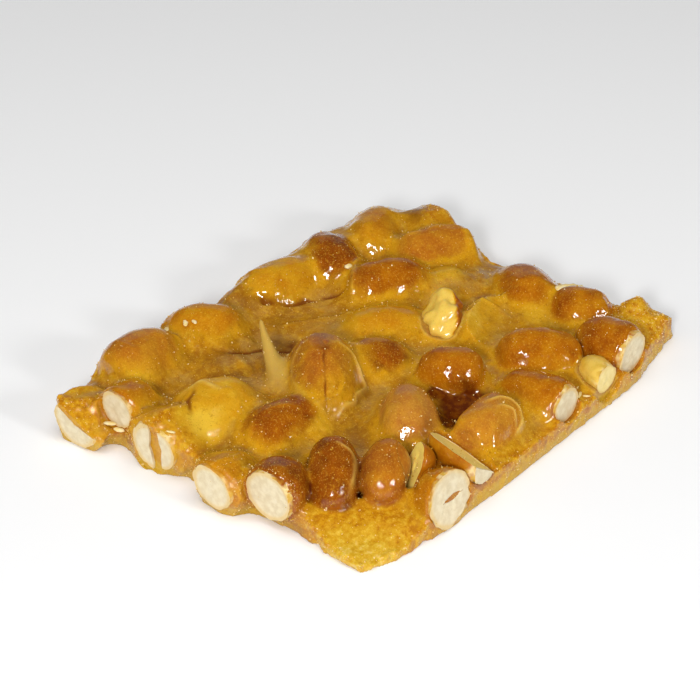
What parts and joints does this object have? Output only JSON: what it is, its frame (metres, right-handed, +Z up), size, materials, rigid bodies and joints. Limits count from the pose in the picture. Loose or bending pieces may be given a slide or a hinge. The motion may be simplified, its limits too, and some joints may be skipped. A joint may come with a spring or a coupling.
{
  "type": "nut brittle piece",
  "caption": "Sawn piece of nut brittle: an amber caramel slab with whole, sawn and split peanuts sunk in it, standing out on top and at its cut sides.",
  "frame": {"origin": "on the surface it lies on, under the middle of its outline's box", "axes": "+X along the longer side, +Z up; the long sawn side with the thin corner faces -Y, the other sawn side faces -X"},
  "size_m": [0.0922, 0.0704, 0.0127],
  "materials": {
    "caramel": "hard glossy boiled sugar, golden amber, paler at thin edges and dark in the gaps between nuts",
    "peanut_skin": "orange-brown roasted peanut skin under a thin glaze of caramel; its sawn ends are matte cream flesh",
    "peanut_flesh": "matte cream peanut flesh of split kernels, skin left on the round side"
  },
  "bodies": {
    "root": {"caramel_slab": "caramel", "peanut_01": "peanut_flesh", "peanut_02": "peanut_skin", "peanut_03": "peanut_flesh", "peanut_04": "peanut_flesh", "peanut_05": "peanut_skin", "peanut_06": "peanut_skin", "peanut_07": "peanut_skin", "peanut_08": "peanut_skin", "peanut_09": "peanut_flesh", "peanut_10": "peanut_flesh", "peanut_11": "peanut_skin", "peanut_12": "peanut_skin", "peanut_13": "peanut_skin", "peanut_14": "peanut_skin", "peanut_15": "peanut_skin", "peanut_16": "peanut_skin", "peanut_17": "peanut_skin", "peanut_18": "peanut_skin", "peanut_19": "peanut_skin", "peanut_20": "peanut_skin", "peanut_21": "peanut_skin", "peanut_22": "peanut_skin", "peanut_23": "peanut_skin", "peanut_24": "peanut_skin", "peanut_25": "peanut_skin", "peanut_26": "peanut_skin", "peanut_27": "peanut_skin", "peanut_28": "peanut_skin", "peanut_29": "peanut_skin", "peanut_30": "peanut_skin", "peanut_31": "peanut_skin", "peanut_32": "peanut_skin", "peanut_33": "peanut_flesh", "peanut_34": "peanut_flesh", "peanut_35": "peanut_skin"}
  },
  "joints": []
}
